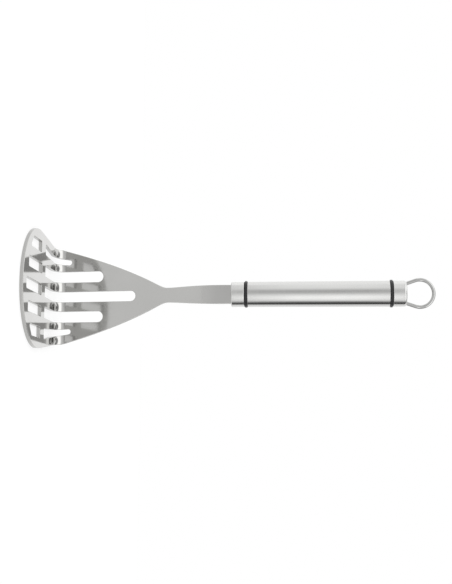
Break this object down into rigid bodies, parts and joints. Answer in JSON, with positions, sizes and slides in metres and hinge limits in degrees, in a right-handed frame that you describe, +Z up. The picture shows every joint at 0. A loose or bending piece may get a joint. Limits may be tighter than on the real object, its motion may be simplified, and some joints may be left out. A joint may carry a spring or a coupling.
{
  "type": "potato masher",
  "caption": "Upright potato masher: a bent stainless sheet with a slotted mashing plate and fan, a tubular steel handle with black rings, and a wire hanging loop.",
  "frame": {"origin": "middle of the footprint, on the underside of the mashing plate", "axes": "+Z up along the handle towards the hanging loop, -Y towards the rounded tip of the mashing plate, +X across it"},
  "size_m": [0.0806, 0.092, 0.2714],
  "materials": {
    "polished_steel": "mirror-polished stainless sheet",
    "satin_steel": "fine circumferential satin brushing",
    "polished_wire": "polished stainless wire",
    "black_ring": "semi-matte black",
    "grey_plastic": "moulded, unseen inside the handle"
  },
  "bodies": {
    "root": {"masher_blade": "polished_steel", "front_cap": "satin_steel", "front_ring": "black_ring", "front_plug": "grey_plastic", "handle_tube": "satin_steel", "rear_ring": "black_ring", "rear_plug": "grey_plastic", "rear_cap": "satin_steel", "hanging_loop": "polished_wire"}
  },
  "joints": []
}
